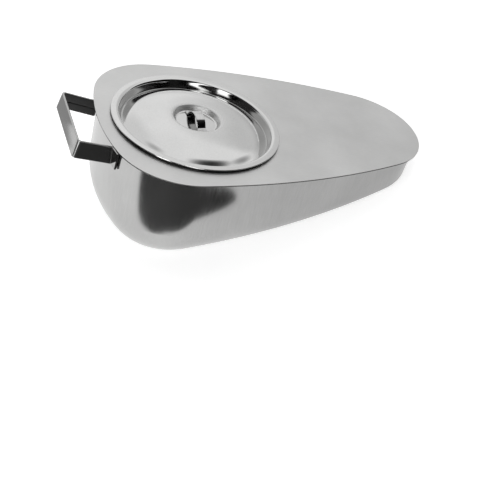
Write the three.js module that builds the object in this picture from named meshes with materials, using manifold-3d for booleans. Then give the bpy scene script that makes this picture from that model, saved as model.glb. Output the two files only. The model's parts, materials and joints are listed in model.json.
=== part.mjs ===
// Stainless-steel slipper bedpan with a plug-in lid and a folded strap handle.
//
// Millimetres, +Z up. The origin is on the underside of the base, straight below the centre of
// the seat opening. The deep heel and its handle point to -X and the thin nose points to +X. The
// pan is symmetric about the XZ plane; the loose lid sits a little to one side in its opening.
//
// Everything but the base is drawn square to the sloping deck, so the pieces are modelled in
// the deck frame: origin at the opening's centre, level with the lid's flange, +X down the slope
// to the nose, +Z along the deck's normal. One group tilts that frame onto the level base.

import * as THREE from 'three';
import { mergeVertices } from 'three/addons/utils/BufferGeometryUtils.js';
import Module from 'manifold-3d';

const wasm = await Module();
wasm.setup();

const degrees = THREE.MathUtils.degToRad;

// ---- Driving dimensions ------------------------------------------------------------------

const wedge = degrees(14.5); // slope of the deck above the base, falling to the nose
const sheet = 1.0; // thickness of the pan's steel
const gap = 0.3; // between pieces that touch

// Deck outline: tangent arcs from the heel to the nose, on each side of the centre line.
// The nose arc closes the outline, so its radius and sweep follow from the others.
const heelX = -115.9;
const outlineArcs = [
  { radius: 248, sweep: degrees(15.3), steps: 3 }, // flattened heel
  { radius: 84, sweep: degrees(76.1), steps: 11 }, // shoulder
  { radius: 853, sweep: degrees(18.25), steps: 7 }, // long side
];
const noseSteps = 10;

// Seat deck, with the edge of its opening turned down into a collar.
const deckTop = -3.8;
const openingRadius = 93.5;
const collarDepth = 9;
const collarBend = 2.5;
const openingSteps = 60;

// Bowl: a drawn wall, a rolled bottom corner and a flat level base.
const noseDepth = 33;
const wallInset = 6.3;
const wallDraft = degrees(0.1);
const noseDraft = degrees(3);
const heelCorner = 43.5;
const noseCorner = 4;
const cornerSteps = 5;
const wallSteps = 2;
const flangeInset = 0.8;

// Lid: flange with a turned-down rim, a wall that plugs the opening, a channel, a dome, and a
// dish in the middle for the grip.
const lidSheet = 0.9;
const lidRadius = 100;
const rimBend = 0.9;
const lidBend = 4.5; // between the flange and the wall
const lidWallTop = 90.8;
const lidWallFoot = 87;
const channelDepth = 10.7;
const channelWidth = 2;
const shoulderRadius = 74; // where the dome steepens towards the channel
const shoulderDrop = 4;
const dishRimRadius = 31.5;
const dishRimHeight = 3.3;
const dishWallTop = 28.4;
const dishFloorRadius = 24.4;
const dishDepth = 6.5;
const lidSteps = 60;
const lidLift = gap + 0.1; // how far the rim stays above the deck
const lidAside = -3; // where the lid has slid to across the opening

// Grip: an arched strap across the dish, on two spot-welded feet.
const gripWidth = 11;
const gripSheet = 1.2;
const gripSpan = 32.6; // across the arch at its feet
const gripHeight = 12;
const gripFoot = 6;
const gripTurn = degrees(6.7);

// Handle: a folded strap bent into a bail and standing on edge, with its ends turned outwards
// into two feet that lie on the heel's wall.
const bailTilt = degrees(12); // above the deck, rising outwards
const bailWidth = 100.5; // over its bar
const bailSpread = degrees(3); // of each arm, widening towards the bar
const bailReach = 38.6; // from the bail's reference line to the outside of its bar
const bailReferenceX = -110;
const bailTopEdge = -9.8; // top edge at the reference line
const strapWidth = 21.6;
const strapThickness = 2.6;
const bailCorner = 5;
const armLean = 1.9; // how much further apart the arms' lower edges are, on each side
const armOverrun = 20; // extra arm length, cut off at the foot

const footReach = 11; // beyond the outside of the arm, at the foot's lower edge
const footFlare = 3.5; // how much further its upper edge reaches
const footDepth = 7.5; // of its upper edge below the deck's top
const footThickness = 2.2;

const steel = { metalness: 1.0 };

// ---- Geometry helpers --------------------------------------------------------------------

// Bare positions with shared vertices, as a boolean needs them.
function bare(geometry) {
  const copy = geometry.clone();
  copy.deleteAttribute('normal');
  copy.deleteAttribute('uv');
  return mergeVertices(copy, 1e-4);
}

function toSolid(geometry) {
  const merged = bare(geometry);
  return new wasm.Manifold(new wasm.Mesh({
    numProp: 3,
    vertProperties: new Float32Array(merged.attributes.position.array),
    triVerts: new Uint32Array(merged.index.array),
  }));
}

function fromSolid(solid) {
  const mesh = solid.getMesh();
  const geometry = new THREE.BufferGeometry();
  geometry.setAttribute('position', new THREE.BufferAttribute(mesh.vertProperties, 3));
  geometry.setIndex(new THREE.BufferAttribute(mesh.triVerts, 1));
  geometry.computeVertexNormals();
  return geometry;
}

// A closed skin over rings of equal length, each running anticlockwise seen from above, with
// flat caps on the first and the last ring.
function loft(rings) {
  const count = rings[0].length;
  const positions = [];
  const indices = [];
  for (const ring of rings) {
    for (const point of ring) positions.push(point.x, point.y, point.z);
  }
  for (let k = 0; k < rings.length - 1; k += 1) {
    for (let i = 0; i < count; i += 1) {
      const a = k * count + i;
      const b = k * count + (i + 1) % count;
      indices.push(a, b, b + count, a, b + count, a + count);
    }
  }
  const caps = [{ start: 0, ring: rings[0], up: false }];
  caps.push({ start: (rings.length - 1) * count, ring: rings.at(-1), up: true });
  for (const cap of caps) {
    const centre = new THREE.Vector3();
    for (const point of cap.ring) centre.addScaledVector(point, 1 / count);
    const hub = positions.length / 3;
    positions.push(centre.x, centre.y, centre.z);
    for (let i = 0; i < count; i += 1) {
      const a = cap.start + i;
      const b = cap.start + (i + 1) % count;
      indices.push(hub, cap.up ? a : b, cap.up ? b : a);
    }
  }
  const geometry = new THREE.BufferGeometry();
  geometry.setAttribute('position', new THREE.Float32BufferAttribute(positions, 3));
  geometry.setIndex(indices);
  geometry.computeVertexNormals();
  return geometry;
}

// A profile of (radius, height) points turned about the Z axis.
function turn(profile, steps) {
  const geometry = new THREE.LatheGeometry(profile, steps);
  geometry.rotateX(Math.PI / 2);
  return bare(geometry);
}

// The lower skin of a pressed sheet, under an upper skin that runs outwards from the axis.
function underside(upper, thickness) {
  return upper.map((point, i) => {
    const before = upper[Math.max(i - 1, 0)];
    const after = upper[Math.min(i + 1, upper.length - 1)];
    const along = after.clone().sub(before).normalize();
    const below = new THREE.Vector2(along.y, -along.x).multiplyScalar(thickness);
    return new THREE.Vector2(point.x === 0 ? 0 : point.x + below.x, point.y + below.y);
  });
}

function steelMesh(name, geometry, color, roughness) {
  const material = new THREE.MeshStandardMaterial({ ...steel, color, roughness });
  const mesh = new THREE.Mesh(geometry, material);
  mesh.name = name;
  return mesh;
}

// ---- Deck outline ------------------------------------------------------------------------

// Points of the outline with their outward normals, anticlockwise from the heel.
function deckOutline() {
  const half = [];
  let heading = -Math.PI / 2;
  let x = heelX;
  let y = 0;
  function walk(radius, sweep, steps) {
    const centreX = x - radius * Math.sin(heading);
    const centreY = y + radius * Math.cos(heading);
    for (let i = half.length === 0 ? 0 : 1; i <= steps; i += 1) {
      const angle = heading + (sweep * i) / steps;
      const nx = Math.sin(angle);
      const ny = -Math.cos(angle);
      half.push({ x: centreX + radius * nx, y: centreY + radius * ny, nx, ny });
    }
    heading += sweep;
    x = half.at(-1).x;
    y = half.at(-1).y;
  }
  for (const arc of outlineArcs) walk(arc.radius, arc.sweep, arc.steps);
  walk(-y / Math.cos(heading), Math.PI / 2 - heading, noseSteps);
  half.at(-1).y = 0;
  const mirrored = half.slice(1, -1).reverse();
  return half.concat(mirrored.map((p) => ({ x: p.x, y: -p.y, nx: p.nx, ny: -p.ny })));
}

const outline = deckOutline();
const noseX = Math.max(...outline.map((p) => p.x));
const widest = outline.reduce((best, p) => (p.y < best.y ? p : best));

// ---- Bowl --------------------------------------------------------------------------------

// Depth of the base below the deck's top, measured along the deck's normal.
function baseDepth(x) {
  return noseDepth + Math.tan(wedge) * (noseX - x);
}

function draftAt(p) {
  return wallDraft + (noseDraft - wallDraft) * Math.max(p.nx, 0) ** 2;
}

// The bottom corner is wide round the heel and narrows along the sides to the nose.
function cornerAt(p) {
  const along = Math.max(p.x - widest.x, 0) / (noseX - widest.x);
  return heelCorner + (noseCorner - heelCorner) * along;
}

// The bowl's section square to the outline at p: inset runs inwards from the outline, depth
// down from the deck's top, and the corner's arc is tangent to the wall and the sloping base.
// Skin is 0 on the outside of the bowl and the sheet's thickness on the inside.
function bowlSection(p, skin) {
  const draft = draftAt(p);
  const fall = Math.tan(wedge) * p.nx;
  const start = wallInset + skin;
  const baseHere = baseDepth(p.x) - skin / Math.cos(wedge);
  const vertex = (baseHere + fall * start) / (1 - fall * Math.tan(draft));
  const radius = cornerAt(p) - skin;
  const between = Math.PI / 2 + draft + Math.atan(fall);
  const foot = vertex - (radius / Math.tan(between / 2)) * Math.cos(draft);
  const footInset = start + foot * Math.tan(draft);
  return {
    wall: (depth) => [start + depth * Math.tan(draft), depth],
    foot,
    corner: (fraction) => {
      const angle = draft + (Math.PI - between) * fraction;
      const inset = footInset + radius * (Math.cos(draft) - Math.cos(angle));
      return [inset, foot + radius * (Math.sin(angle) - Math.sin(draft))];
    },
  };
}

function ringAt(insetAndDepth) {
  return outline.map((p) => {
    const [inset, depth] = insetAndDepth(p);
    return new THREE.Vector3(p.x - p.nx * inset, p.y - p.ny * inset, deckTop - depth);
  });
}

// Rings of one skin of the bowl from under its flange down to the base.
function bowlSkin(skin, topDepth) {
  const rings = [];
  for (let i = 0; i <= wallSteps; i += 1) {
    rings.push(ringAt((p) => {
      const section = bowlSection(p, skin);
      return section.wall(topDepth + ((section.foot - topDepth) * i) / wallSteps);
    }));
  }
  for (let i = 1; i <= cornerSteps; i += 1) {
    rings.push(ringAt((p) => bowlSection(p, skin).corner(i / cornerSteps)));
  }
  return rings;
}

// Turned-out flange under the edge of the deck, then the drawn wall and base.
function panBowl() {
  const flangeTop = sheet + gap;
  const flangeFoot = flangeTop + sheet;
  const bend = 1.2;
  const outside = bowlSkin(0, flangeFoot + bend).reverse();
  const inside = bowlSkin(sheet, flangeFoot);
  const edgeFoot = ringAt(() => [flangeInset, flangeFoot]);
  const edgeTop = ringAt(() => [flangeInset, flangeTop]);
  const bendFoot = ringAt(() => [wallInset - bend / 2, flangeFoot]);
  const bendTop = ringAt(() => [wallInset + sheet / 2, flangeTop]);
  return loft([...outside, bendFoot, edgeFoot, edgeTop, bendTop, ...inside]);
}

// ---- Seat deck ---------------------------------------------------------------------------

function seatDeck() {
  const shape = new THREE.Shape(outline.map((p) => new THREE.Vector2(p.x, p.y)));
  const hole = new THREE.Path();
  const overlap = 1.5;
  hole.absarc(0, 0, openingRadius + collarBend + overlap, 0, 2 * Math.PI, true);
  shape.holes.push(hole);
  const plate = new THREE.ExtrudeGeometry(shape, {
    depth: sheet,
    bevelEnabled: false,
    curveSegments: openingSteps / 2,
  });
  plate.translate(0, 0, deckTop - sheet);

  const outer = openingRadius + collarBend;
  const section = new THREE.Path();
  section.moveTo(outer + 2 * overlap, -sheet);
  section.lineTo(outer + 2 * overlap, 0);
  section.lineTo(outer, 0);
  section.absarc(outer, -collarBend, collarBend, Math.PI / 2, Math.PI, false);
  section.lineTo(openingRadius, -collarDepth);
  section.lineTo(openingRadius + sheet, -collarDepth);
  section.absarc(outer, -collarBend, collarBend - sheet, Math.PI, Math.PI / 2, true);
  section.closePath();
  const collar = turn(section.getPoints(2), openingSteps);
  collar.translate(0, 0, deckTop);
  return fromSolid(toSolid(plate).add(toSolid(collar)));
}

// ---- Lid ---------------------------------------------------------------------------------

// Upper skin of the lid from its axis to the foot of its rim.
function lidUpperSkin() {
  const floor = dishRimHeight - dishDepth;
  const channelInner = lidWallFoot - channelWidth;
  const path = new THREE.Path();
  path.moveTo(0, floor);
  path.lineTo(dishFloorRadius - 1.4, floor);
  path.quadraticCurveTo(dishFloorRadius, floor, dishFloorRadius + 0.9, floor + 1.4);
  path.lineTo(dishWallTop - 1, dishRimHeight - 1.7);
  path.quadraticCurveTo(dishWallTop, dishRimHeight - 0.1, dishWallTop + 1.7, dishRimHeight);
  path.lineTo(dishRimRadius, dishRimHeight);
  path.bezierCurveTo(
    dishRimRadius + 20, dishRimHeight, shoulderRadius - 9, -shoulderDrop + 4.8,
    shoulderRadius, -shoulderDrop,
  );
  path.bezierCurveTo(
    shoulderRadius + 3, -shoulderDrop - 1.6, channelInner - 3.4, -channelDepth + 1.6,
    channelInner - 0.6, -channelDepth + 0.3,
  );
  path.lineTo(channelInner + 0.2, -channelDepth);
  path.lineTo(lidWallFoot - 0.8, -channelDepth);
  path.lineTo(lidWallFoot + 0.3, -channelDepth + 0.8);
  const lean = Math.atan2(lidWallTop - lidWallFoot, channelDepth);
  const bendCentre = lidWallTop + lidBend / Math.tan(Math.PI / 4 + lean / 2);
  path.absarc(bendCentre, -lidBend, lidBend, Math.PI - lean, Math.PI / 2, true);
  path.lineTo(lidRadius - rimBend, 0);
  path.lineTo(lidRadius - 0.3 * rimBend, -0.3 * rimBend);
  path.lineTo(lidRadius, -rimBend);
  path.lineTo(lidRadius, deckTop + lidLift);
  return path.getPoints(5);
}

function lidPressing() {
  const upper = lidUpperSkin();
  const lower = underside(upper, lidSheet);
  return turn([...lower, ...upper.reverse()], lidSteps);
}

// ---- Grip --------------------------------------------------------------------------------

// Side view of the strap, with Y to the right and Z up, standing on the dish floor at Z = 0.
function gripSide() {
  const half = gripSpan / 2;
  const radius = (half * half + gripHeight * gripHeight) / (2 * gripHeight);
  const centre = gripHeight - radius;
  const rise = Math.asin((gripSheet - centre) / radius);
  const innerRadius = radius - gripSheet;
  const innerRise = Math.asin(-centre / innerRadius);
  const toe = half + gripFoot;
  const shape = new THREE.Shape();
  shape.moveTo(toe, 0);
  shape.lineTo(toe, gripSheet);
  shape.absarc(0, centre, radius, rise, Math.PI - rise, false);
  shape.lineTo(-toe, gripSheet);
  shape.lineTo(-toe, 0);
  shape.absarc(0, centre, innerRadius, Math.PI - innerRise, innerRise, true);
  shape.closePath();
  return shape;
}

function lidGrip() {
  const geometry = new THREE.ExtrudeGeometry(gripSide(), {
    depth: gripWidth,
    bevelEnabled: false,
    curveSegments: 10,
  });
  geometry.translate(0, 0, -gripWidth / 2);
  geometry.rotateX(Math.PI / 2);
  geometry.rotateZ(Math.PI / 2 + gripTurn);
  geometry.translate(0, 0, dishRimHeight - dishDepth + gap);
  return geometry;
}

// ---- Handle ------------------------------------------------------------------------------

// Places a thing flat against the heel's wall: side is +1 at +Y and -1 at -Y, along is the
// distance from the centre line, and out is how far it stands off the wall.
function placeAtHeel(object, side, along, depth, out) {
  const heel = outlineArcs[0].radius;
  const angle = Math.asin(along / heel);
  const radius = heel - wallInset - depth * Math.tan(wallDraft) + out;
  object.position.set(
    heelX + heel - radius * Math.cos(angle),
    side * radius * Math.sin(angle),
    deckTop - depth,
  );
  object.rotation.set(0, -wallDraft, -side * angle, 'ZYX');
}

// The bail seen square to its plane, with its bar at -X and its open end at +X.
function bailShape() {
  const bar = -bailReach;
  const centreX = bar + bailCorner;
  const centreY = bailWidth / 2 - bailCorner;
  const turned = Math.PI / 2 - bailSpread;
  const innerCorner = bailCorner - strapThickness;
  // Half width of one face of an arm at its open end.
  function openEnd(radius) {
    const run = armOverrun - centreX - radius * Math.cos(turned);
    return centreY + radius * Math.sin(turned) - run * Math.tan(bailSpread);
  }
  const shape = new THREE.Shape();
  shape.moveTo(armOverrun, -openEnd(innerCorner));
  shape.absarc(centreX, -centreY, innerCorner, -turned, -Math.PI, true);
  shape.absarc(centreX, centreY, innerCorner, Math.PI, turned, true);
  shape.lineTo(armOverrun, openEnd(innerCorner));
  shape.lineTo(armOverrun, openEnd(bailCorner));
  shape.absarc(centreX, centreY, bailCorner, turned, Math.PI, false);
  shape.absarc(centreX, -centreY, bailCorner, Math.PI, 2 * Math.PI - turned, false);
  shape.lineTo(armOverrun, -openEnd(bailCorner));
  shape.closePath();
  return shape;
}

// Half width over the outside of the arms where they meet the heel.
const armOutside = bailWidth / 2 - bailReach * Math.tan(bailSpread);
const footHeight = strapWidth / Math.cos(bailTilt);

// One turned-out end of the strap: its inner edge is flush with the inside of the arm, and its
// outer edge leans outwards going up.
function strapFoot(side) {
  const shape = new THREE.Shape();
  shape.moveTo(-strapThickness, 0);
  shape.lineTo(-strapThickness, -footHeight);
  shape.lineTo(footReach, -footHeight);
  shape.lineTo(footReach + footFlare, 0);
  shape.closePath();
  const geometry = new THREE.ExtrudeGeometry(shape, { depth: footThickness, bevelEnabled: false });
  geometry.rotateX(Math.PI / 2);
  geometry.rotateZ((side * Math.PI) / 2);
  if (side > 0) geometry.translate(-footThickness, 0, 0);
  return geometry;
}

function handleBail() {
  const geometry = new THREE.ExtrudeGeometry(bailShape(), {
    depth: strapWidth,
    bevelEnabled: false,
    curveSegments: 6,
  });
  geometry.translate(0, 0, -strapWidth);
  const points = geometry.attributes.position;
  for (let i = 0; i < points.count; i += 1) {
    const lean = (armLean * -points.getZ(i)) / strapWidth;
    points.setY(i, points.getY(i) + Math.sign(points.getY(i)) * lean);
  }
  geometry.rotateY(bailTilt);
  geometry.translate(bailReferenceX, 0, bailTopEdge);
  let solid = toSolid(geometry);
  for (const side of [-1, 1]) {
    const holder = new THREE.Object3D();
    placeAtHeel(holder, side, armOutside, footDepth, 2 * gap);
    holder.updateMatrix();
    const wall = new THREE.BoxGeometry(60, 60, 80);
    wall.translate(30, 0, 0);
    wall.applyMatrix4(holder.matrix);
    solid = solid.subtract(toSolid(wall));
    const foot = strapFoot(side);
    foot.applyMatrix4(holder.matrix);
    solid = solid.add(toSolid(foot));
  }
  return fromSolid(solid);
}

// ---- Assembly ----------------------------------------------------------------------------

const deckFrame = new THREE.Group();
deckFrame.rotation.y = wedge;
deckFrame.position.z = (baseDepth(0) - deckTop) * Math.cos(wedge);

deckFrame.add(steelMesh('pan_bowl', panBowl(), 0xc4c4c2, 0.28));
deckFrame.add(steelMesh('seat_deck', seatDeck(), 0xcccccb, 0.35));
const lid = new THREE.Group();
lid.position.y = lidAside;
lid.add(steelMesh('lid_pressing', lidPressing(), 0xd2d2d1, 0.1));
lid.add(steelMesh('lid_grip', lidGrip(), 0xc8c8c6, 0.12));
deckFrame.add(lid);
deckFrame.add(steelMesh('handle_bail', handleBail(), 0x8d8d8c, 0.22));
const bedpan = new THREE.Group();
bedpan.add(deckFrame);

export default bedpan;
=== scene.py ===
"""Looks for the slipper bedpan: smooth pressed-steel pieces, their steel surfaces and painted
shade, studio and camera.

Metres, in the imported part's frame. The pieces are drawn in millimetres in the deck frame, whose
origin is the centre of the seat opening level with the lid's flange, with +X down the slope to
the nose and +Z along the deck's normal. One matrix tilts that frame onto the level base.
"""

import json
import math

import bmesh
import bpy
from mathutils import Matrix, Vector


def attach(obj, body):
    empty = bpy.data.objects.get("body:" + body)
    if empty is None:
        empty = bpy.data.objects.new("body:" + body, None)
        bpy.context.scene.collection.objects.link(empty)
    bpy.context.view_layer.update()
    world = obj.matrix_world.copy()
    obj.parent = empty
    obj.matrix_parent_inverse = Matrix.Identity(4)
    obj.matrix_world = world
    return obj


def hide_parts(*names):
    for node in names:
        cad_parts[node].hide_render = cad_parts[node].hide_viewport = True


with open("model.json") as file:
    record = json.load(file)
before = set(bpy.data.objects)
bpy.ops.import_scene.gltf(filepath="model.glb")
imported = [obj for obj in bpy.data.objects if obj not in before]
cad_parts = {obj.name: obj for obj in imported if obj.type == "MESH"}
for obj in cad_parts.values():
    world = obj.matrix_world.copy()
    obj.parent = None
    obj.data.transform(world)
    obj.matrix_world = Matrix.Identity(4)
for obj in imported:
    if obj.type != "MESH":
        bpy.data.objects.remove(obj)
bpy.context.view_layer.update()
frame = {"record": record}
scene = bpy.context.scene
record = frame["record"]

MM = 0.001

# ---- Driving dimensions, in millimetres, as in the CAD ------------------------------------

SHEET = 1.0
SEAM = 0.3  # between the deck and the bowl's flange
DECK_TOP = -3.8
HEEL_X = -115.9
OUTLINE_ARCS = (  # radius and sweep from the heel to the nose; the nose arc closes it
    (248, math.radians(15.3)),
    (84, math.radians(76.1)),
    (853, math.radians(18.25)),
)
AROUND = 360  # points round the deck and the bowl

OPENING_RADIUS = 93.5
COLLAR_DEPTH = 9
COLLAR_BEND = 2.5

NOSE_DEPTH = 33
WALL_INSET = 6.3
WALL_DRAFT = math.radians(0.1)
NOSE_DRAFT = math.radians(3)
HEEL_CORNER = 43.5
NOSE_CORNER = 4
FLANGE_INSET = 0.8
FLANGE_BEND = 1.6

LID_SHEET = 0.9
LID_RADIUS = 100
LID_WALL_TOP = 90.8
LID_WALL_FOOT = 87
LID_BEND = 4.5
CHANNEL_DEPTH = 10.7
CHANNEL_INNER = 85
SHOULDER = (74, -4)  # radius and height
DISH_RIM = (31.5, 3.3)  # radius and height
DISH_WALL = 28.4
DISH_FLOOR = (24.4, -3.2)
RIM_BEND = 0.95
RIM_FOOT = DECK_TOP + 0.4
LID_ASIDE = -3
LID_STEPS = 240

GRIP_WIDTH = 11
GRIP_SHEET = 1.2
GRIP_SPAN = 32.6
GRIP_HEIGHT = 12
GRIP_FOOT = 6
GRIP_TURN = math.radians(6.7)

BAIL_TILT = math.radians(12)
BAIL_WIDTH = 100.5
BAIL_SPREAD = math.radians(3)
BAIL_REACH = 38.6
BAIL_REFERENCE_X = -110
BAIL_TOP_EDGE = -9.8
BAIL_CORNER = 5
STRAP_LEAN = 1.9  # how much further apart the arms' lower edges are, on each side
STRAP_WIDTH = 21.6
STRAP_THICKNESS = 2.6
FOOT_REACH = 11
FOOT_FLARE = 3.5
FOOT_BEND = 2.2
FOOT_GAP = 0.4
BAIL_MIDDLE = (-125, 0, -20)  # a point between the arms, which the inner faces look towards

# ---- The deck's slope, from the joint that lifts the lid square to it ------------------------

lift_axis = Vector(record["behaviour"]["joints"][0]["axis"])
wedge = math.atan2(lift_axis.x, lift_axis.z)


# ---- Mesh helpers ---------------------------------------------------------------------------


def add_piece(name, points, faces, place, body, node, finishes_and_painted_shade, slot, pick=None, sharp=40):
    """A smooth-shaded mesh from millimetre points, riding on a body in place of a CAD node.
    Pick says which material, steel surface or painted shade, a face has, from its centre and
    normal before placing."""
    mesh = bpy.data.meshes.new(name)
    mesh.from_pydata([tuple(p * MM) for p in points], [], faces)
    bm = bmesh.new()
    bm.from_mesh(mesh)
    bmesh.ops.remove_doubles(bm, verts=bm.verts, dist=1e-7)
    bmesh.ops.recalc_face_normals(bm, faces=bm.faces)
    for face in bm.faces:
        face.smooth = True
    for edge in bm.edges:
        if len(edge.link_faces) == 2 and edge.calc_face_angle() > math.radians(sharp):
            edge.smooth = False
    bm.to_mesh(mesh)
    bm.free()
    for picked in finishes_and_painted_shade:
        mesh.materials.append(picked)
    if pick:
        for face in mesh.polygons:
            face.material_index = pick(face.center / MM, face.normal)
    mesh.transform(place)
    piece = bpy.data.objects.new(name, mesh)
    scene.collection.objects.link(piece)
    flat = piece.modifiers.new("flat_faces_stay_flat", "WEIGHTED_NORMAL")
    flat.keep_sharp = True
    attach(piece, body)
    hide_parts(node)
    return piece


def loft(rings, closed=False, capped=False):
    """Points and faces of a skin over rings of equal length."""
    count = len(rings[0])
    points = [p for ring in rings for p in ring]
    faces = []
    for k in range(len(rings) if closed else len(rings) - 1):
        a = k * count
        b = ((k + 1) % len(rings)) * count
        for i in range(count):
            j = (i + 1) % count
            faces.append((a + i, a + j, b + j, b + i))
    if capped:
        last = (len(rings) - 1) * count
        faces.append(tuple(reversed(range(count))))
        faces.append(tuple(last + i for i in range(count)))
    return points, faces


def turned(profile, steps):
    """Points and faces of a closed (radius, height) profile turned about Z."""
    rings = []
    for radius, height in profile:
        ring = []
        for i in range(steps):
            angle = 2 * math.pi * i / steps
            ring.append(Vector((radius * math.cos(angle), radius * math.sin(angle), height)))
        rings.append(ring)
    return loft(rings, closed=True)


def rounded(corners, steps=6):
    """A path through (x, y, radius) corners, each rounded to its radius."""
    path = []
    for i, (x, y, radius) in enumerate(corners):
        here = Vector((x, y))
        if radius == 0 or i in (0, len(corners) - 1):
            path.append(here)
            continue
        back = (Vector(corners[i - 1][:2]) - here).normalized()
        ahead = (Vector(corners[i + 1][:2]) - here).normalized()
        half = math.acos(max(-1, min(1, back.dot(ahead)))) / 2
        run = radius / math.tan(half)
        centre = here + (back + ahead).normalized() * (radius / math.sin(half))
        start = here + back * run - centre
        end = here + ahead * run - centre
        sweep = math.pi - 2 * half
        for k in range(steps + 1):
            part = k / steps
            spoke = start * math.sin((1 - part) * sweep) + end * math.sin(part * sweep)
            path.append(centre + spoke / math.sin(sweep))
    return path


def bezier(a, b, c, d, steps):
    """Points of a cubic curve after its first."""
    curve = []
    for k in range(1, steps + 1):
        t = k / steps
        u = 1 - t
        x, y = (
            u**3 * a[i] + 3 * u * u * t * b[i] + 3 * u * t * t * c[i] + t**3 * d[i]
            for i in (0, 1)
        )
        curve.append((x, y, 0))
    return curve


# ---- Deck outline ---------------------------------------------------------------------------


def outline_half():
    """Points of one side of the outline with their outward normals, from heel to nose."""
    half = []
    heading = -math.pi / 2
    x, y = HEEL_X, 0.0

    def walk(radius, sweep, steps):
        nonlocal heading, x, y
        centre_x = x - radius * math.sin(heading)
        centre_y = y + radius * math.cos(heading)
        for i in range(steps + 1):
            angle = heading + sweep * i / steps
            normal = (math.sin(angle), -math.cos(angle))
            half.append((centre_x + radius * normal[0], centre_y + radius * normal[1], *normal))
        heading += sweep
        x, y = half[-1][:2]

    for radius, sweep in OUTLINE_ARCS:
        walk(radius, sweep, 300)
    walk(-y / math.cos(heading), math.pi / 2 - heading, 300)
    return half


def outline_around():
    """The outline at even angles about the opening's centre, as (x, y, nx, ny)."""
    half = outline_half()
    bearings = [math.atan2(-p[1], -p[0]) for p in half]
    side = []
    k = 0
    for i in range(AROUND // 2 + 1):
        bearing = math.pi * i / (AROUND // 2)
        while k < len(half) - 2 and bearings[k + 1] < bearing:
            k += 1
        span = bearings[k + 1] - bearings[k]
        t = min(max((bearing - bearings[k]) / span, 0), 1) if span > 0 else 0
        side.append(tuple(u + (v - u) * t for u, v in zip(half[k], half[k + 1])))
    mirrored = [(x, -y, nx, -ny) for x, y, nx, ny in reversed(side[1:-1])]
    return side + mirrored


outline = outline_around()
nose_x = max(p[0] for p in outline)
widest_x = min(outline, key=lambda p: p[1])[0]

base_below = NOSE_DEPTH + math.tan(wedge) * nose_x - DECK_TOP
origin_height = base_below * math.cos(wedge) * MM
deck_frame = Matrix.Translation((0, 0, origin_height)) @ Matrix.Rotation(wedge, 4, "Y")
lid_frame = deck_frame @ Matrix.Translation((0, LID_ASIDE * MM, 0))


# ---- Bowl -----------------------------------------------------------------------------------


def bowl_section(p, skin):
    """The bowl's section square to the outline at p, as (inset, depth) down its wall and round
    its corner. Skin is 0 for the outside and the sheet's thickness for the inside."""
    x, y, nx, ny = p
    draft = WALL_DRAFT + (NOSE_DRAFT - WALL_DRAFT) * max(nx, 0) ** 2
    fall = math.tan(wedge) * nx
    start = WALL_INSET + skin
    base = NOSE_DEPTH + math.tan(wedge) * (nose_x - x) - skin / math.cos(wedge)
    vertex = (base + fall * start) / (1 - fall * math.tan(draft))
    along = max(x - widest_x, 0) / (nose_x - widest_x)
    radius = HEEL_CORNER + (NOSE_CORNER - HEEL_CORNER) * along - skin
    between = math.pi / 2 + draft + math.atan(fall)
    foot = vertex - radius / math.tan(between / 2) * math.cos(draft)
    foot_inset = start + foot * math.tan(draft)

    def wall(depth):
        return start + depth * math.tan(draft), depth

    def corner(part):
        angle = draft + (math.pi - between) * part
        inset = foot_inset + radius * (math.cos(draft) - math.cos(angle))
        return inset, foot + radius * (math.sin(angle) - math.sin(draft))

    return foot, wall, corner


def ring_at(inset_and_depth):
    ring = []
    for p in outline:
        inset, depth = inset_and_depth(p)
        ring.append(Vector((p[0] - p[2] * inset, p[1] - p[3] * inset, DECK_TOP - depth)))
    return ring


def bowl_skin(skin, top_depth, wall_steps=8, corner_steps=20):
    """Rings of one skin of the bowl from under its flange to the middle of its base."""
    rings = []
    for i in range(wall_steps + 1):

        def wall_point(p, part=i / wall_steps):
            foot, wall, corner = bowl_section(p, skin)
            return wall(top_depth + (foot - top_depth) * part)

        rings.append(ring_at(wall_point))
    for i in range(1, corner_steps + 1):

        def corner_point(p, part=i / corner_steps):
            return bowl_section(p, skin)[2](part)

        rings.append(ring_at(corner_point))
    edge = rings[-1]
    middle = sum(edge, Vector()) / len(edge)
    rings.append([p.lerp(middle, 0.03) for p in edge])
    return rings


def flange_bend(radius, inset, depth, steps=5):
    """Rings round the bend between the flange and the wall, from the flange to the wall."""
    rings = []
    for i in range(steps + 1):
        angle = math.pi / 2 * i / steps
        out = inset - radius * (1 - math.sin(angle))
        rings.append(ring_at(lambda p, o=out, a=angle: (o, depth + radius * (1 - math.cos(a)))))
    return rings


def pan_bowl():
    top = SHEET + SEAM
    foot = top + SHEET
    outside = bowl_skin(0, foot + FLANGE_BEND)
    inside = bowl_skin(SHEET, top + FLANGE_BEND + SHEET)
    under = flange_bend(FLANGE_BEND, WALL_INSET, foot)
    over = flange_bend(FLANGE_BEND + SHEET, WALL_INSET + SHEET, top)
    edge = [
        ring_at(lambda p: (FLANGE_INSET + 0.3, foot)),
        ring_at(lambda p: (FLANGE_INSET, foot - 0.3)),
        ring_at(lambda p: (FLANGE_INSET, top + 0.3)),
        ring_at(lambda p: (FLANGE_INSET + 0.3, top)),
    ]
    rings = outside[::-1] + under[::-1][1:] + edge + over[:-1] + inside
    return loft(rings, capped=True)


# ---- Seat deck ------------------------------------------------------------------------------


def circle_ring(radius, height):
    ring = []
    for i in range(AROUND):
        bearing = math.pi + 2 * math.pi * i / AROUND
        ring.append(Vector((radius * math.cos(bearing), radius * math.sin(bearing), height)))
    return ring


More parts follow.
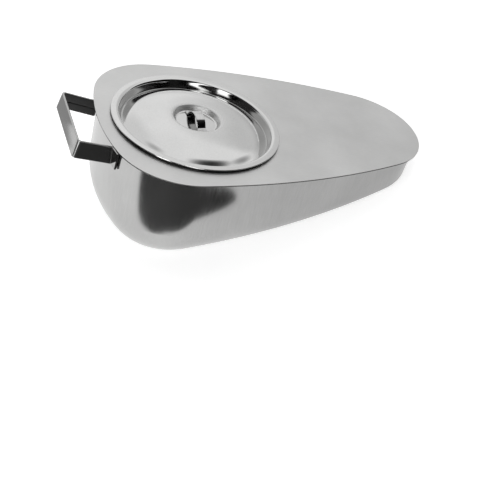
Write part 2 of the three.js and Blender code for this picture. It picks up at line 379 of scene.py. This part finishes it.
def seat_deck():
    """The flat sheet with its opening turned down into a collar and its outer edge eased."""
    outer = OPENING_RADIUS + COLLAR_BEND
    ease = 0.4
    rings = [
        ring_at(lambda p: (ease, SHEET)),
        ring_at(lambda p: (0, SHEET - ease)),
        ring_at(lambda p: (0, ease)),
        ring_at(lambda p: (0.3 * ease, 0.3 * ease)),
        ring_at(lambda p: (ease, 0)),
        ring_at(lambda p: (2, 0)),
    ]
    rings.append(circle_ring(outer + 1, DECK_TOP))
    for i in range(7):
        angle = math.pi / 2 * i / 6
        radius = outer - COLLAR_BEND * math.sin(angle)
        rings.append(circle_ring(radius, DECK_TOP - COLLAR_BEND * (1 - math.cos(angle))))
    rings.append(circle_ring(OPENING_RADIUS, DECK_TOP - COLLAR_DEPTH))
    rings.append(circle_ring(OPENING_RADIUS + SHEET, DECK_TOP - COLLAR_DEPTH))
    for i in range(5):
        angle = math.pi / 2 * (1 - i / 4)
        bend = COLLAR_BEND - SHEET
        radius = outer - bend * math.sin(angle)
        height = DECK_TOP - SHEET - bend * (1 - math.cos(angle))
        rings.append(circle_ring(radius, height))
    rings.append(circle_ring(outer + 1, DECK_TOP - SHEET))
    return loft(rings, closed=True)


# ---- Lid ------------------------------------------------------------------------------------


def lid_pressing():
    """The lid turned from the rounded path of its upper skin and a parallel lower skin."""
    rim_radius, rim_height = DISH_RIM
    floor_radius, floor_height = DISH_FLOOR
    corners = [
        (0, floor_height, 0),
        (floor_radius, floor_height, 2.6),
        (DISH_WALL, rim_height - 0.1, 3.2),
        (rim_radius, rim_height, 0),
    ]
    shoulder_radius, shoulder_height = SHOULDER
    corners += bezier(
        DISH_RIM,
        (rim_radius + 20, rim_height),
        (shoulder_radius - 9, shoulder_height + 4.8),
        SHOULDER,
        24,
    )
    corners += bezier(
        SHOULDER,
        (shoulder_radius + 3, shoulder_height - 1.6),
        (CHANNEL_INNER - 3.4, -CHANNEL_DEPTH + 1.6),
        (CHANNEL_INNER - 0.6, -CHANNEL_DEPTH + 0.3),
        12,
    )
    corners += [
        (CHANNEL_INNER, -CHANNEL_DEPTH, 0.5),
        (LID_WALL_FOOT, -CHANNEL_DEPTH, 1),
        (LID_WALL_TOP, 0, LID_BEND),
        (LID_RADIUS, 0, RIM_BEND),
        (LID_RADIUS, RIM_FOOT, 0),
    ]
    upper = rounded(corners)
    lower = []
    for i, point in enumerate(upper):
        along = upper[min(i + 1, len(upper) - 1)] - upper[max(i - 1, 0)]
        along.normalize()
        below = Vector((along.y, -along.x)) * LID_SHEET
        lower.append(Vector((0 if point.x == 0 else point.x + below.x, point.y + below.y)))
    return turned(lower + upper[::-1], LID_STEPS)


# ---- Straps ---------------------------------------------------------------------------------


def swept_strap(stations, thickness, seam=0.0):
    """A flat strap through stations, each the two edges (Vector, Vector) of its middle plane.
    Its edges are rounded, and a seam deeper than 0 runs down the middle of its inner face."""
    half = thickness / 2
    rings = []
    for i, (near, far) in enumerate(stations):
        before = stations[max(i - 1, 0)]
        after = stations[min(i + 1, len(stations) - 1)]
        along = (after[0] + after[1] - before[0] - before[1]).normalized()
        across = (far - near).normalized()
        normal = across.cross(along).normalized()
        width = (far - near).length
        ease = min(half, 1.0)
        ring = []
        for k in range(7):
            angle = math.pi / 2 - math.pi * k / 6
            ring.append((width - ease + ease * math.cos(angle), half * math.sin(angle)))
        for k in range(7):
            angle = -math.pi / 2 - math.pi * k / 6
            ring.append((ease + ease * math.cos(angle), half * math.sin(angle)))
        if seam > 0:
            middle = width / 2
            groove = ((-1.3, 0), (-0.5, 0.35), (0, 1), (0.5, 0.35), (1.3, 0))
            ring += [(middle + u, half - seam * v) for u, v in groove]
        rings.append([near + across * u + normal * v for u, v in ring])
    return loft(rings, capped=True)


def lid_grip():
    """The arched strap, standing on the dish's floor."""
    half = GRIP_SPAN / 2
    radius = (half * half + GRIP_HEIGHT**2) / (2 * GRIP_HEIGHT) - GRIP_SHEET / 2
    centre = GRIP_HEIGHT - GRIP_SHEET / 2 - radius
    level = GRIP_SHEET / 2
    meet = math.sqrt(radius**2 - (level - centre) ** 2)
    rise = math.atan2(level - centre, meet)
    toe = half + GRIP_FOOT
    path = [(-toe, level), (-meet - 2.5, level), (-meet - 1.2, level + 0.15)]
    for i in range(1, 32):
        angle = math.pi - rise - (math.pi - 2 * rise) * i / 32
        path.append((radius * math.cos(angle), centre + radius * math.sin(angle)))
    path += [(meet + 1.2, level + 0.15), (meet + 2.5, level), (toe, level)]
    turn = Matrix.Rotation(GRIP_TURN, 3, "Z")
    stations = []
    for y, z in path:
        lift = z + DISH_FLOOR[1] + 0.3
        edges = [turn @ Vector((side * GRIP_WIDTH / 2, y, lift)) for side in (-1, 1)]
        stations.append(tuple(edges))
    return swept_strap(stations, GRIP_SHEET)


def bail_point(x, y, drop):
    """A point of the bail's strap, drop below its top edge, in the deck frame."""
    tilt = Matrix.Rotation(BAIL_TILT, 3, "Y")
    offset = Vector((BAIL_REFERENCE_X, 0, BAIL_TOP_EDGE))
    lean = math.copysign(STRAP_LEAN * drop / STRAP_WIDTH, y)
    return tilt @ Vector((x, y + lean, -drop)) + offset


def strap_end(side, drop):
    """Where an edge of one arm meets its foot, and the directions of the arm and the foot."""
    heel = OUTLINE_ARCS[0][0]
    angle = math.asin((BAIL_WIDTH / 2 - BAIL_REACH * math.tan(BAIL_SPREAD)) / heel)
    out = Vector((-math.cos(angle), side * math.sin(angle), 0))
    along_wall = Vector((math.sin(angle), side * math.cos(angle), 0))
    stand = heel - WALL_INSET + FOOT_GAP + STRAP_THICKNESS / 2
    on_wall = Vector((HEEL_X + heel, 0, 0)) + out * stand
    half = BAIL_WIDTH / 2 - STRAP_THICKNESS / 2
    bar = -BAIL_REACH + STRAP_THICKNESS / 2
    start = bail_point(bar, side * half, drop)
    run = Vector((math.cos(BAIL_SPREAD), -side * math.sin(BAIL_SPREAD), 0))
    arm = Matrix.Rotation(BAIL_TILT, 3, "Y") @ run
    reach = (on_wall - start).dot(out) / arm.dot(out)
    return start + arm * reach, arm, along_wall


def strap_edge(drop, reach):
    """One edge of the handle's strap, from the tip of one foot round to the other."""
    edge = []
    for side in (-1, 1):
        meet, arm, along_wall = strap_end(side, drop)
        part = [meet + along_wall * reach]
        start = meet + along_wall * FOOT_BEND
        end = meet - arm * FOOT_BEND
        for k in range(11):
            t = k / 10
            part.append(start * (1 - t) ** 2 + meet * 2 * t * (1 - t) + end * t * t)
        radius = BAIL_CORNER - STRAP_THICKNESS / 2
        centre_x = -BAIL_REACH + BAIL_CORNER
        centre_y = BAIL_WIDTH / 2 - BAIL_CORNER
        for k in range(13):
            angle = math.pi / 2 - BAIL_SPREAD + (math.pi / 2 + BAIL_SPREAD) * k / 12
            x = centre_x + radius * math.cos(angle)
            y = centre_y + radius * math.sin(angle)
            part.append(bail_point(x, side * y, drop))
        edge += part if side < 0 else part[::-1]
    return edge


def handle_bail():
    top = strap_edge(0, FOOT_REACH + FOOT_FLARE)
    bottom = strap_edge(STRAP_WIDTH, FOOT_REACH)
    return swept_strap(list(zip(top, bottom)), STRAP_THICKNESS, seam=0.5)


# ---- Steel surfaces and painted shade -------------------------------------------------------


def steel(name, color, roughness, spread, grain, grain_depth, wave_depth, mottle=0.92):
    """Steel with a fine directional grain, uneven polish and slight waves in the sheet. Grain
    is how closely the lines lie along each axis, spread how far the roughness varies, and
    mottle the darkest patches' share of the colour."""
    material = bpy.data.materials.new(name)
    material.use_nodes = True
    nodes = material.node_tree.nodes
    links = material.node_tree.links
    shader = nodes["Principled BSDF"]
    shader.inputs["Metallic"].default_value = 1.0
    along_deck = nodes.new("ShaderNodeVectorRotate")
    along_deck.rotation_type = "Y_AXIS"
    along_deck.inputs["Angle"].default_value = -wedge
    links.new(nodes.new("ShaderNodeTexCoord").outputs["Object"], along_deck.inputs["Vector"])

    def noise(scale, stretch, detail):
        mapping = nodes.new("ShaderNodeMapping")
        mapping.inputs["Scale"].default_value = stretch
        links.new(along_deck.outputs["Vector"], mapping.inputs["Vector"])
        texture = nodes.new("ShaderNodeTexNoise")
        texture.inputs["Scale"].default_value = scale
        texture.inputs["Detail"].default_value = detail
        links.new(mapping.outputs["Vector"], texture.inputs["Vector"])
        return texture.outputs["Fac"]

    def ramp(value, low, high):
        mapped = nodes.new("ShaderNodeMapRange")
        mapped.inputs["From Min"].default_value = 0.3
        mapped.inputs["From Max"].default_value = 0.7
        mapped.inputs["To Min"].default_value = low
        mapped.inputs["To Max"].default_value = high
        links.new(value, mapped.inputs["Value"])
        return mapped.outputs["Result"]

    lines = noise(1, grain, 3)
    patches = noise(14, (1, 1, 1), 4)
    blend = nodes.new("ShaderNodeMath")
    blend.operation = "ADD"
    links.new(ramp(lines, -spread / 2, spread / 2), blend.inputs[0])
    links.new(ramp(patches, roughness - spread / 2, roughness + spread / 2), blend.inputs[1])
    links.new(blend.outputs["Value"], shader.inputs["Roughness"])

    tint = nodes.new("ShaderNodeMix")
    tint.data_type = "RGBA"
    tint.inputs["A"].default_value = (*(mottle * c for c in color), 1)
    tint.inputs["B"].default_value = (*color, 1)
    streaks = nodes.new("ShaderNodeMath")
    streaks.operation = "ADD"
    links.new(ramp(lines, -0.2, 0.2), streaks.inputs[0])
    links.new(ramp(patches, 0.2, 0.8), streaks.inputs[1])
    links.new(streaks.outputs["Value"], tint.inputs["Factor"])
    links.new(tint.outputs["Result"], shader.inputs["Base Color"])

    fine = nodes.new("ShaderNodeBump")
    fine.inputs["Distance"].default_value = grain_depth * MM
    links.new(lines, fine.inputs["Height"])
    waves = nodes.new("ShaderNodeBump")
    waves.inputs["Distance"].default_value = wave_depth * MM
    links.new(noise(9, (1, 1, 1), 1), waves.inputs["Height"])
    links.new(waves.outputs["Normal"], fine.inputs["Normal"])
    links.new(fine.outputs["Normal"], shader.inputs["Normal"])
    return material


deck_grain = (140, 2600, 2600)  # lines along the deck's slope
bowl_grain = (1200, 1200, 50)  # lines down the wall
lid_grain = (700, 700, 700)
grip_grain = (1500, 60, 300)
strap_grain = (90, 90, 900)
deck_steel = steel("deck_satin", (0.69, 0.69, 0.685), 0.4, 0.05, deck_grain, 0.001, 0.10, 0.8)
bowl_steel = steel("bowl_satin", (0.6, 0.6, 0.595), 0.14, 0.05, bowl_grain, 0.004, 0.12, 0.82)
lid_steel = steel("lid_polished", (0.71, 0.71, 0.705), 0.09, 0.04, lid_grain, 0.0008, 0.05, 0.85)
# Darker copy of the lid's steel, painted shade in the channel and down the foot of the lid's wall.
channel_painted_shade = steel("lid_channel_painted_shade", (0.43, 0.43, 0.426), 0.1, 0.04, lid_grain, 0.0008, 0.05)
dish_steel = steel("lid_dish", (0.69, 0.69, 0.685), 0.48, 0.04, lid_grain, 0.0008, 0.05)
grip_steel = steel("grip_polished", (0.66, 0.66, 0.655), 0.1, 0.04, grip_grain, 0.005, 0.02, 0.7)
strap_steel = steel("strap_rolled", (0.48, 0.48, 0.475), 0.08, 0.04, strap_grain, 0.002, 0.03)
# Near-black painted dark reflection for the strap's inner faces, not the steel's own colour.
strap_painted_dark_reflection = steel("strap_painted_dark_reflection", (0.05, 0.05, 0.05), 0.3, 0.1, strap_grain, 0.004, 0.05)
# Near-black painted shadow: the gap under the lid's rim and the line under the deck's edge.
painted_edge_shadow = steel("painted_edge_shadow", (0.03, 0.03, 0.03), 0.4, 0.05, lid_grain, 0.0008, 0.02)
lid_finishes_and_painted_shade = [lid_steel, channel_painted_shade, dish_steel, painted_edge_shadow]


def lid_finish_and_painted_shade(centre, normal):
    """The lid is polished but for the dish's wall, which is rough, its rim's turned-down edge,
    painted near-black as the shadow in the gap under the rim, and the channel, painted darker as
    shade.
    """
    radius = centre.xy.length
    picked = lid_steel
    # The rim's turned-down edge: painted shadow.
    if radius > LID_RADIUS - 0.1 and centre.z < -RIM_BEND:
        picked = painted_edge_shadow
    elif DISH_FLOOR[0] < radius < DISH_RIM[0]:
        picked = dish_steel
    # The channel and the foot of the lid's wall: painted shade.
    elif CHANNEL_INNER < radius < LID_WALL_TOP and centre.z < -1:
        picked = channel_painted_shade
    return lid_finishes_and_painted_shade.index(picked)


def sheet_edge_painted_shadow(centre, normal):
    """The sheets' cut edges, which stand square to the deck at its outline, are painted near-black
    as the shadow line under the deck's edge.
    """
    return 1 if abs(normal.z) < 0.6 and centre.z > DECK_TOP - 2 * SHEET - SEAM else 0


def deck_edge_painted_shadow(centre, normal):
    """Only the deck's outer edge is cut and gets that painted shadow; its collar is turned down.
    """
    return sheet_edge_painted_shadow(centre, normal) if centre.xy.length > 1.1 * OPENING_RADIUS else 0


def strap_painted_reflection_pick(centre, normal):
    """The strap's inner faces are rougher than its outer ones and painted near-black as a dark
    reflection.
    """
    return 1 if normal.dot((Vector(BAIL_MIDDLE) - centre).normalized()) > 0.6 else 0


# ---- Pieces ---------------------------------------------------------------------------------

for name, drawn, place, body, node, finishes_and_painted_shade, slot, pick in (
    (
        "bowl", pan_bowl(), deck_frame, "pan", "pan_bowl",
        [bowl_steel, painted_edge_shadow], "pan_satin", sheet_edge_painted_shadow,
    ),
    (
        "deck", seat_deck(), deck_frame, "pan", "seat_deck",
        [deck_steel, painted_edge_shadow], "pan_satin", deck_edge_painted_shadow,
    ),
    (
        "handle", handle_bail(), deck_frame, "pan", "handle_bail",
        [strap_steel, strap_painted_dark_reflection], "handle_strap", strap_painted_reflection_pick,
    ),
    (
        "lid", lid_pressing(), lid_frame, "lid", "lid_pressing",
        lid_finishes_and_painted_shade, "lid_polished", lid_finish_and_painted_shade,
    ),
    ("grip", lid_grip(), lid_frame, "lid", "lid_grip", [grip_steel], "lid_polished", None),
):
    add_piece(name, *drawn, place, body, node, finishes_and_painted_shade, slot, pick)


# ---- Studio ---------------------------------------------------------------------------------

VIEW_TURN = math.radians(17.92)  # from +Y towards +X
VIEW_DROP = math.radians(42.8)
camera_place = Vector((-0.22093, -0.88795, origin_height + 0.63625))
view = Vector(
    (
        math.cos(VIEW_DROP) * math.sin(VIEW_TURN),
        math.cos(VIEW_DROP) * math.cos(VIEW_TURN),
        -math.sin(VIEW_DROP),
    )
)


def flat_stage(name, corners, height):
    """A level sheet of the studio through its corners, in metres."""
    mesh = bpy.data.meshes.new(name)
    mesh.from_pydata([(x, y, height) for x, y in corners], [], [tuple(range(len(corners)))])
    obj = bpy.data.objects.new(name, mesh)
    scene.collection.objects.link(obj)
    return obj


def paint(name, value, glow):
    """A matt grey, with some light of its own."""
    material = bpy.data.materials.new(name)
    material.use_nodes = True
    shader = material.node_tree.nodes["Principled BSDF"]
    shader.inputs["Base Color"].default_value = (value, value, value, 1)
    shader.inputs["Roughness"].default_value = 0.9
    shader.inputs["Emission Color"].default_value = (1, 1, 1, 1)
    shader.inputs["Emission Strength"].default_value = glow
    return material


def square(half):
    """The corners of a square about the origin."""
    return [(-half, -half), (half, -half), (half, half), (-half, half)]


floor = flat_stage("floor", square(20), 0)
floor.data.materials.append(paint("floor_paint", 0.9, 0.55))

# Sheets seen only in the steel. The first is the dark room beyond the table's front edge.
ROOM_HEIGHT = 0.0005
TABLE_HEIGHT = 0.0003
table_edge = [(-1.5, -0.11), (-0.38, -0.137), (-0.26, -0.145), (-0.19, -0.16), (-0.14, -0.17)]
table_edge += [(-0.1, -0.185), (0.03, -0.19), (0.048, -0.195), (0.054, -0.205)]
room_side = [(0.053, -0.213), (0.043, -0.227), (0.025, -0.243), (0.005, -0.268), (-0.02, -0.31)]
room_corners = [*table_edge, *room_side, (-0.1, -1.5), (-1.5, -1.5)]
room = flat_stage("dark_room", room_corners, ROOM_HEIGHT)
room.data.materials.append(paint("dark_paint", 0.018, 0.006))

# The table as the steel sees it, dimmer on the nose's side.
table = flat_stage("lit_table", square(4), TABLE_HEIGHT)
table_paint = paint("table_paint", 0, 1)
table.data.materials.append(table_paint)
table_nodes = table_paint.node_tree.nodes
table_links = table_paint.node_tree.links
across = table_nodes.new("ShaderNodeSeparateXYZ")
fade = table_nodes.new("ShaderNodeMapRange")
fade.interpolation_type = "SMOOTHSTEP"
fade.inputs["From Min"].default_value = -0.12
fade.inputs["From Max"].default_value = 0.12
fade.inputs["To Min"].default_value = 0.9
fade.inputs["To Max"].default_value = 0.65
table_links.new(table_nodes.new("ShaderNodeTexCoord").outputs["Object"], across.inputs[0])
table_links.new(across.outputs["X"], fade.inputs["Value"])
table_links.new(fade.outputs["Result"], table_nodes["Principled BSDF"].inputs["Emission Strength"])

# A grey board standing at the far left, which shows in the handle's bar.
board_edge = [(-0.37, 0.3), (-0.375, 0.335), (-0.38, 0.362), (-0.388, 0.387), (-0.398, 0.405)]
board_corners = [*board_edge, (-0.43, 0.42), (-0.7, 0.45), (-0.7, 1), (0, 1), (0, 0.3)]
board = flat_stage("grey_board", board_corners, ROOM_HEIGHT)
board.data.materials.append(paint("board_paint", 0.1, 0.3))

for seen_in_steel in (room, table, board):
    seen_in_steel.visible_camera = False
    seen_in_steel.visible_diffuse = False
    seen_in_steel.visible_shadow = False

world = bpy.data.worlds.new("studio")
scene.world = world
world.use_nodes = True
tree = world.node_tree
background = tree.nodes["Background"]
background.inputs["Strength"].default_value = 1.0
sky = tree.nodes.new("ShaderNodeTexCoord").outputs["Generated"]


def aimed(turn, rise):
    """The direction turned from +Y towards +X and raised above the level, in degrees."""
    level = math.cos(math.radians(rise))
    turn = math.radians(turn)
    return (level * math.sin(turn), level * math.cos(turn), math.sin(math.radians(rise)))


def zone(direction, full, clear, value):
    """Light of a value within an angle of a direction, blending to 1 at a wider angle."""
    towards = tree.nodes.new("ShaderNodeVectorMath")
    towards.operation = "DOT_PRODUCT"
    tree.links.new(sky, towards.inputs[0])
    towards.inputs[1].default_value = direction
    mapped = tree.nodes.new("ShaderNodeMapRange")
    mapped.interpolation_type = "SMOOTHSTEP"
    mapped.inputs["From Min"].default_value = math.cos(math.radians(clear))
    mapped.inputs["From Max"].default_value = math.cos(math.radians(full))
    mapped.inputs["To Min"].default_value = 1
    mapped.inputs["To Max"].default_value = value
    tree.links.new(towards.outputs["Value"], mapped.inputs["Value"])
    return mapped.outputs["Result"]


def times(a, b):
    product = tree.nodes.new("ShaderNodeMath")
    product.operation = "MULTIPLY"
    tree.links.new(a, product.inputs[0])
    tree.links.new(b, product.inputs[1])
    return product.outputs["Value"]


def brighter(a, b):
    largest = tree.nodes.new("ShaderNodeMath")
    largest.operation = "MAXIMUM"
    tree.links.new(a, largest.inputs[0])
    tree.links.new(b, largest.inputs[1])
    return largest.outputs["Value"]


def lamp_row(turn, half_width, top, value):
    """Light of a row of lamps running away from the zenith along a bearing, in degrees."""
    beside = zone(aimed(turn + 90, 0), 88 - half_width, 92 - half_width, 0)
    other_side = zone(aimed(turn - 90, 0), 88 - half_width, 92 - half_width, 0)
    behind = zone(aimed(turn + 180, 0), 88, 92, 0)
    above = zone((0, 0, 1), 90 - top, 96 - top, 0)
    row = times(times(beside, other_side), times(behind, above))
    scaled = tree.nodes.new("ShaderNodeMath")
    scaled.operation = "MULTIPLY"
    tree.links.new(row, scaled.inputs[0])
    scaled.inputs[1].default_value = value
    return scaled.outputs["Value"]


light = zone((0, 0, -1), 88, 104, 0.75)  # lower light near the level
for dark in (
    zone(aimed(152, 30), 38, 49, 0.02),
    zone(aimed(112, 4), 30, 39, 0.04),
    zone(aimed(205, 30), 40, 49, 0.03),
    zone(aimed(262, 48), 30, 38, 0.05),
    zone(aimed(250, 0), 24, 40, 0.3),
    zone(aimed(328, 40), 10, 34, 0.85),
    zone(aimed(50, 12), 14, 28, 0.72),
):
    light = times(light, dark)
for lamp in (lamp_row(184, 6, 62, 3), lamp_row(228, 8, 62, 3)):
    light = brighter(light, lamp)
tree.links.new(light, background.inputs["Color"])

camera_data = bpy.data.cameras.new("camera")
camera_data.sensor_width = 36
camera_data.lens = 68.1
camera = bpy.data.objects.new("camera", camera_data)
camera.location = camera_place
camera.rotation_euler = view.to_track_quat("-Z", "Y").to_euler()
scene.collection.objects.link(camera)
scene.camera = camera
scene.view_settings.view_transform = "Standard"

bpy.context.view_layer.update()
